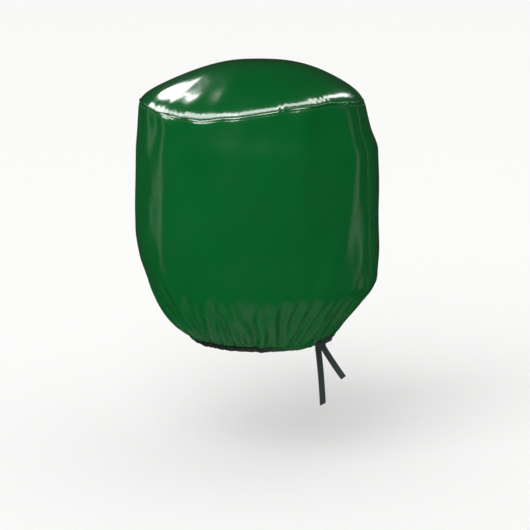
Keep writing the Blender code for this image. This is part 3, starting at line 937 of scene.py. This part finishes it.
def make_top_panel(vinyl, flannel):
    inner = np.linspace(CROWN_SHARE, DOME_FINE_FROM, DOME_ROWS[0])[:-1]
    shares = np.concatenate([inner, np.linspace(DOME_FINE_FROM, DOME_EDGE, DOME_ROWS[1])])
    angles = whole_turn(DOME_COLUMNS)
    hub = UP * CAD_VINYL / 2
    piece = sheet_piece("top_panel_vinyl", dome, angles, shares, (vinyl, flannel), True, hub)
    wear_of(piece)
    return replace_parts(piece, "top_panel")


def make_skirt_panel(node, first_seam, vinyl, flannel):
    piece = sheet_piece(f"{node}_vinyl", skirt, panel_angles(first_seam), panel_depths(), (vinyl, flannel))
    wear_of(piece)
    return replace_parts(piece, node)


def shade_the_casing(piece):
    """Paints near-black shade into the colour of the casing's underside, heaviest at the front left."""
    places, angle = places_of(piece)
    centre, up, _ = casing_frame(angle)
    height = ((places - centre) * up).sum(-1) / CASING_HALF_HEIGHT
    most = bump(angle_off(angle, CASING_SHADE_MOST), CASING_SHADE_REACH, 4)
    climb = CASING_SHADE_LOW + (CASING_SHADE_HIGH - CASING_SHADE_LOW) * most
    strength = CASING_SHADE_LEAST + (1 - CASING_SHADE_LEAST) * most
    paint(piece, "underside_shade", strength * ease((climb - height) / CASING_SHADE_EDGE))


def make_casing(node, start, end, vinyl, flannel):
    """Half of the casing, a tube round the drawstring, open at both ends."""
    corners = -whole_turn(CASING_SIDES)
    angles = np.linspace(start, end, int((end - start) / TURN * CASING_COLUMNS))

    def tube(corner, angle, lift):
        return casing(angle, corner, lift - SHEET / 2)

    piece = sheet_piece(f"{node}_vinyl", tube, corners, angles, (vinyl, flannel), True)
    wear_of(piece, pleats_only=True)
    shade_the_casing(piece)
    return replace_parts(piece, node)


def make_piping(look):
    angle = whole_turn(PIPING_COLUMNS)
    line = plain_skirt(angle, np.full_like(angle, SHOULDER_DEPTH)) + seam_shift(angle, 0.0)
    proud = PIPING_PROUD + 0.5 * puckers(angle, 0.0)
    line = line + level(angle, 1.0, PIPING_LEAN) * proud[:, None]
    radii = PIPING_RADIUS * (1 + PIPING_UNEVEN * ripple(angle, 0.0, *PIPING_SWELLS))
    piece = hoop_piece("shoulder_welt", line, radii, (look,))
    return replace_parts(piece, "shoulder_piping")


def make_tape_strip(node, angles, depths, look, wrap=False):
    """A strip of tape on the inside of the skirt."""
    looks = (look, look)
    piece = sheet_piece(f"{node}_tape", skirt, angles, depths, looks, wrap, None, TAPE, TAPE_INSIDE)
    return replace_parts(piece, node)


def make_tapes(look):
    """The binding inside the shoulder seam, and a tape inside each side seam."""
    ring = whole_turn(BINDING_COLUMNS)
    upper = SHOULDER_DEPTH + np.linspace(BINDING_FROM, BINDING_TO, TAPE_COLUMNS)
    half = TAPE_HALF_WIDTH / SHOULDER_LEFT
    across = np.linspace(-half, half, TAPE_COLUMNS)
    tall = np.linspace(SHOULDER_DEPTH + BINDING_TO, SKIRT_BOTTOM - TAPE_END, TAPE_ROWS)
    return (
        make_tape_strip("shoulder_binding", ring, upper, look, wrap=True),
        make_tape_strip("side_seam_tape_left", SEAM_LEFT + across, tall, look),
        make_tape_strip("side_seam_tape_right", SEAM_RIGHT + across, tall, look),
    )


def make_stitching(look):
    """The rows of stitches below the shoulder, above the casing and beside each side seam."""
    ring = np.linspace(0, TURN, STITCH_ROW_POINTS)
    top, bottom = SHOULDER_STITCH_DEPTH + SIDE_STITCH_GAP, HEM_STITCH_DEPTH - SIDE_STITCH_GAP
    tall = np.linspace(top, bottom, SIDE_STITCH_POINTS)
    beside = SIDE_STITCH_OFF / SHOULDER_LEFT
    rows = {
        "shoulder_stitching": (ring, np.full_like(ring, SHOULDER_STITCH_DEPTH)),
        "hem_stitching": (ring, np.full_like(ring, HEM_STITCH_DEPTH)),
        "side_stitching_left": (np.full_like(tall, SEAM_LEFT - beside), tall),
        "side_stitching_right": (np.full_like(tall, SEAM_RIGHT - beside), tall),
    }
    made = []
    for node, (angle, depth) in rows.items():
        line = skirt(angle, depth, SHEET / 2 + STITCH_PROUD)
        normals = outward(plain_skirt, angle, depth, DEPTH_STEP)
        piece = stitch_piece(f"{node}_thread", line, normals, (look,))
        made.append(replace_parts(piece, node))
    return made


def bend(start, control, end, count):
    """Points of a smooth curve from start towards control and on to end."""
    t = np.linspace(0, 1, count)[:, None]
    return (1 - t) ** 2 * start + 2 * t * (1 - t) * control + t * t * end


def loop_tilt(x):
    """How much higher the tilted loop round the leg stands at this X."""
    return LOOP_TILT * (x - KNOT_CENTRE[0] - KNOT_HALF[0])


def lead_out(way, end):
    """The strap from a mouth of the casing, the front one at way 1 and the back one at -1, to an end."""
    mouth = SEAM_RIGHT - way * OPENING_HALF
    centre, up, _ = casing_frame(np.array(mouth))
    onwards = way * np.array((-math.sin(mouth), math.cos(mouth), 0.0))
    control = centre + onwards * 0.5 * np.linalg.norm(end - centre)
    return bend(centre, control, end, LEAD_POINTS)[1:], up


def lead_to_knot():
    """The strap from the casing into the knot: its points, the direction of its width, and its widths."""
    line, up = lead_out(1, KNOT_CENTRE + KNOT_ENTRY)
    share = ease(np.linspace(0, 1, LEAD_POINTS)[1:, None])
    return line, unit(up * (1 - share) + UP * share), STRAP_WIDTH - KNOT_SQUEEZE * share[:, 0]


def lead_to_loop():
    """The same from the casing to the leg, where the strap runs into the loop's outer side."""
    radius = LOOP_RADIUS + STRAP_THICK
    straight, up = lead_out(-1, LEG_CENTRE + np.array((radius, 0.0, 0.0)))
    turn = np.linspace(0, -LEAD_BEND, LEAD_BEND_POINTS)[1:]
    sunk = radius - STRAP_THICK * ease(-turn / LEAD_BEND)
    around = LEG_CENTRE + level(turn, sunk)
    line = np.vstack([straight, around])
    share = ease(np.linspace(0, 1, len(line)))
    line[:, 2] += loop_tilt(line[:, 0]) * share
    across = up * (1 - share)[:, None] + UP * share[:, None]
    return line, unit(across), STRAP_WIDTH + (LOOP_LEAD_WIDTH - STRAP_WIDTH) * share


def make_drawstrap(look):
    """The strap inside the casing, with one end out to the knot and the other to the loop round the leg."""
    angle = np.linspace(SEAM_RIGHT - OPENING_HALF, SEAM_RIGHT + OPENING_HALF - TURN, STRAP_POINTS)
    centre, up, side = casing_frame(angle)
    inside = centre + side * (GATHER_AT_MIDDLE * hem_gathers(angle, 0.0))[:, None]
    to_knot, knot_across, knot_widths = lead_to_knot()
    to_loop, loop_across, loop_widths = lead_to_loop()
    line = np.vstack([to_knot[::-1], inside, to_loop])
    across = np.vstack([knot_across[::-1], up, loop_across])
    widths = np.concatenate([knot_widths[::-1], np.full(len(inside), STRAP_WIDTH), loop_widths])
    piece = ribbon_piece("drawstring_strap", line, across, widths, (look,))
    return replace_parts(piece, "hem_drawstrap")


def make_leg_loop(look):
    """The strap's turn round the leg: a round end, and a narrow neck that runs into the knot."""
    toward = unit(LEG_CENTRE - KNOT_CENTRE)
    neck = KNOT_CENTRE + toward * LOOP_NECK_OFF
    facing = math.atan2(toward[1], toward[0])
    spread = math.acos((LOOP_RADIUS - LOOP_NECK_RADIUS) / np.linalg.norm(LEG_CENTRE - neck))
    round_turn = facing + np.linspace(-(math.pi - spread), math.pi - spread, LOOP_POINTS)
    neck_turn = facing + math.pi + np.linspace(-spread, spread, LOOP_NECK_POINTS)
    round_end = LEG_CENTRE + level(round_turn, LOOP_RADIUS)
    line = np.vstack([round_end, neck + level(neck_turn, LOOP_NECK_RADIUS), round_end[:1]])
    line[:, 2] += loop_tilt(line[:, 0])
    widths = LOOP_BAND + LOOP_UNEVEN * np.cos(np.linspace(0, TURN, len(line)))
    piece = ribbon_piece("leg_loop_strap", line, np.tile(UP, (len(line), 1)), widths, (look,))
    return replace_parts(piece, "leg_loop")


def wrap_piece(name, look, layer, axis, width):
    """A turn of strap that hugs the knot's rounded core, around this axis. layer is how far out it lies."""
    axis = unit(np.array(axis))
    first = unit(np.cross(axis, UP))
    second = np.cross(axis, first)
    size = KNOT_HALF.mean()
    edge = width / 2 / size

    def hug(turn, reach, lift):
        turn, reach = np.broadcast_arrays(turn[..., None], reach[..., None])
        ring = first * np.cos(turn) + second * np.sin(turn)
        crown = 1 + KNOT_CROWN * np.cos(4 * turn) - KNOT_EDGE * np.abs(reach / edge) ** 4
        rounded = (ring * np.cos(reach) + axis * np.sin(reach)) * crown
        return KNOT_CENTRE + rounded * (KNOT_HALF + layer + lift)

    turns, reaches = whole_turn(KNOT_COLUMNS), np.linspace(edge, -edge, KNOT_ROWS)
    piece = sheet_piece(name, hug, turns, reaches, (look, look), True, None, STRAP_THICK, -STRAP_THICK / 2)
    uv = stack(reaches[:, None] * size, turns * size).reshape(-1, 2)
    lay_uv(piece, np.concatenate([uv, uv]))
    return piece


def make_knot(look):
    """An overhand knot: two crossing turns of the strap over the strands inside it."""
    turns = [wrap_piece(name, look, *shape) for name, shape in KNOT_TURNS.items()]
    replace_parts(turns[-1], "tie_knot")
    return turns


def make_tail(node, top_x, end_x, end_z, bow, behind, twist, skew, look):
    """A free tail of the strap from inside the knot to its cut end, the line it follows, and its length."""
    share = np.linspace(0, 1, TAIL_POINTS)
    bent = share + bow * share * (1 - share)
    y = KNOT_CENTRE[1] + behind
    line = stack(top_x + (end_x - top_x) * bent, y, TAIL_TOP + (end_z - TAIL_TOP) * share)
    line[:, 1] += TAIL_SWAY * np.sin(math.pi * share) ** 2
    inside = stack(top_x, y, TAIL_TOP + np.linspace(*TAIL_INSIDE, TAIL_INSIDE_POINTS))
    line = np.vstack([inside, line])
    along = unit(np.gradient(line, axis=0))
    flat = unit(stack(-along[:, 2], 0.0, along[:, 0]))
    depth = np.cross(along, flat)
    run = distance_along(line)
    turned = twist * ease((run / run[-1] - 0.15) / 0.7)[:, None]
    across = flat * np.cos(turned) + depth * np.sin(turned)
    opened = ease(run / TAIL_NECK_LENGTH)
    widths = TAIL_NECK_WIDTH + (STRAP_WIDTH - TAIL_NECK_WIDTH) * opened
    cup = TAIL_NECK_CUP + (TAIL_CUP - TAIL_NECK_CUP) * opened
    piece = ribbon_piece(f"{node}_strap", line, across, widths, (look,), skew=skew, cup=cup)
    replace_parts(piece, node)
    return piece, line, run[-1]


def tie_on(tail, body, line, length):
    """Bakes the tail's place into its mesh, and finds the points just over and just under its hinge below the
    knot.
    """
    x, y = line[TAIL_INSIDE_POINTS][:2]
    over, under = (x, y, TAIL_TOP + HINGE_ABOVE), (x, y, TAIL_TOP - HINGE_BELOW)
    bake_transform(tail)
    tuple(over)
    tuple(under)


# ---- Stage ----

FLOOR = -1.165
FLOOR_HALF = 60.0
LIGHT_DISTANCE = 3.2
LIGHT_TARGET = (0.0, 0.0, -0.1)
SOFTBOXES = {  # azimuth, elevation, width, height and roll in degrees, radiance
    "window_left": (130, 42, 24, 11, 30, 13),
    "window_bar": (136, 53.0, 5, 3, 30, 18),
    "strip_left": (168, 27, 36, 14, 0, 11),
    "strip_front_left": (-146, 39, 44, 18, 0, 12),
    "strip_front": (-92, 47, 48, 19, 0, 12),
    "strip_front_right": (-32, 54, 54, 11, 0, 12),
    "strip_right": (35, 40, 43, 7, -48, 11),
    "tall_left": (165, -8, 20, 62, 0, 0.42),
    "tall_right": (14, -8, 20, 62, 0, 0.38),
    "floor_glow": (-90, -89, 80, 80, 0, 0.22),
}
SOFT_LIGHTS = ("tall_left", "tall_right", "floor_glow")
SOFT_EDGE = 0.45
SUN_LIGHT = 1.8
SUN_SPREAD = math.radians(60)
SUN_TOWARD = (-0.36, -0.72, 0.60)
WORLD_LIGHT = 0.70
WORLD_SEEN = 0.92
WORLD_MIRRORED = 0.02
CAMERA_PLACE = (0.0234, -4.48, 0.275)
CAMERA_LENS = 104.5
CAMERA_TILT = math.radians(11.1)
CAMERA_FAR = 500


def make_floor():
    """A plain pale floor where the grill's feet would stand."""
    corners = [(x * FLOOR_HALF, y * FLOOR_HALF, FLOOR) for x, y in ((-1, -1), (1, -1), (1, 1), (-1, 1))]
    look = Nodes("pale_floor", (0.95, 0.95, 0.94, 1), 0.9)
    look.set(Specular_IOR_Level=0.1)
    floor = new_piece("floor", corners, [(0, 1, 2, 3)], (look.material,))
    floor.visible_glossy = False


def make_world():
    """White to the eye, soft light for what is matt, and dim where the vinyl would mirror it."""
    world = bpy.data.worlds.new("studio")
    world.use_nodes = True
    bpy.context.scene.world = world
    tree = world.node_tree
    path = add_node(tree, "ShaderNodeLightPath")
    strength = WORLD_LIGHT
    for ray, light in (("Is Glossy Ray", WORLD_MIRRORED), ("Is Camera Ray", WORLD_SEEN)):
        chosen = add_node(tree, "ShaderNodeMapRange", Value=path.outputs[ray], To_Min=strength, To_Max=light)
        strength = chosen.outputs["Result"]
    tree.links.new(strength, tree.nodes["Background"].inputs["Strength"])
    tree.nodes["Background"].inputs["Color"].default_value = (1, 1, 1, 1)


def make_sun():
    """A very soft key light from the upper left, which gives the folds their shade."""
    lamp = bpy.data.lights.new("key", "SUN")
    lamp.energy = SUN_LIGHT
    lamp.angle = SUN_SPREAD
    light = new_object("key", lamp)
    light.rotation_euler = Vector(SUN_TOWARD).to_track_quat("Z", "Y").to_euler()
    light.visible_glossy = False


def soften(lamp):
    """The light fades out towards its edges."""
    lamp.use_nodes = True
    tree = lamp.node_tree
    place = add_node(tree, "ShaderNodeNewGeometry").outputs["Parametric"]
    parts = add_node(tree, "ShaderNodeSeparateXYZ", Vector=place)
    strength = 1.0
    for part in parts.outputs[:2]:
        inwards = add_node(tree, "ShaderNodeMath", "PINGPONG", _0=part, _1=0.5).outputs[0]
        fade = add_node(tree, "ShaderNodeMapRange", "SMOOTHSTEP", _0=inwards, _2=SOFT_EDGE, _4=strength)
        strength = fade.outputs["Result"]
    tree.links.new(strength, tree.nodes["Emission"].inputs["Strength"])


def make_softbox(name, azimuth, elevation, wide, tall, roll, radiance):
    """A rectangular light, sized in degrees as its target sees it, that shows only in glossy surfaces."""
    lamp = bpy.data.lights.new(name, "AREA")
    lamp.shape = "RECTANGLE"
    lamp.size = 2 * LIGHT_DISTANCE * math.tan(math.radians(wide / 2))
    lamp.size_y = 2 * LIGHT_DISTANCE * math.tan(math.radians(tall / 2))
    lamp.energy = radiance * math.pi * lamp.size * lamp.size_y
    azimuth, elevation = math.radians(azimuth), math.radians(elevation)
    flat = math.cos(elevation)
    toward = Vector((flat * math.cos(azimuth), flat * math.sin(azimuth), math.sin(elevation)))
    light = new_object(name, lamp)
    light.location = Vector(LIGHT_TARGET) + toward * LIGHT_DISTANCE
    facing = toward.to_track_quat("Z", "Y") @ Quaternion((0, 0, 1), math.radians(roll))
    light.rotation_euler = facing.to_euler()
    if name in SOFT_LIGHTS:
        soften(lamp)
    light.visible_camera = False
    light.visible_diffuse = False


def make_camera():
    camera = new_object("camera", bpy.data.cameras.new("camera"))
    camera.data.lens = CAMERA_LENS
    camera.data.clip_end = CAMERA_FAR
    camera.location = CAMERA_PLACE
    camera.rotation_euler = (math.radians(90) - CAMERA_TILT, 0, 0)
    bpy.context.scene.camera = camera


def main():
    make_camera()
    make_world()
    make_sun()
    make_floor()
    for name, panel in SOFTBOXES.items():
        make_softbox(name, *panel)
    bpy.context.scene.view_settings.view_transform = "Standard"
    vinyl, flannel, webbing = make_vinyl(), make_flannel(), make_webbing()

    top = make_top_panel(vinyl, flannel)
    front = make_skirt_panel("skirt_front_panel", SEAM_LEFT, vinyl, flannel)
    back = make_skirt_panel("skirt_back_panel", SEAM_RIGHT, vinyl, flannel)
    front_start, front_end = SEAM_LEFT - TURN + SEAM_HAIR, SEAM_RIGHT - OPENING_HALF - MOUTH_PUSHED_BACK
    hem_front = make_casing("hem_casing_front", front_start, front_end, vinyl, flannel)
    back_start, back_end = SEAM_RIGHT + OPENING_HALF, SEAM_LEFT - SEAM_HAIR
    hem_back = make_casing("hem_casing_back", back_start, back_end, vinyl, flannel)
    welt = make_piping(make_piping_vinyl())
    binding, *side_tapes = make_tapes(make_tape())
    threads = make_stitching(make_thread())
    strap = make_drawstrap(webbing)
    loop = make_leg_loop(webbing)
    knot = make_knot(webbing)
    tails = [(body, *make_tail(node, *shape, webbing)) for node, (body, *shape) in TAILS.items()]

    vinyl_pieces = (top, front, back, hem_front, hem_back)
    for piece in (*vinyl_pieces, welt, binding, *side_tapes, *threads, strap, loop, *knot):
        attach(piece, "cover")
    for body, tail, line, length in tails:
        tie_on(tail, body, line, length)


main()
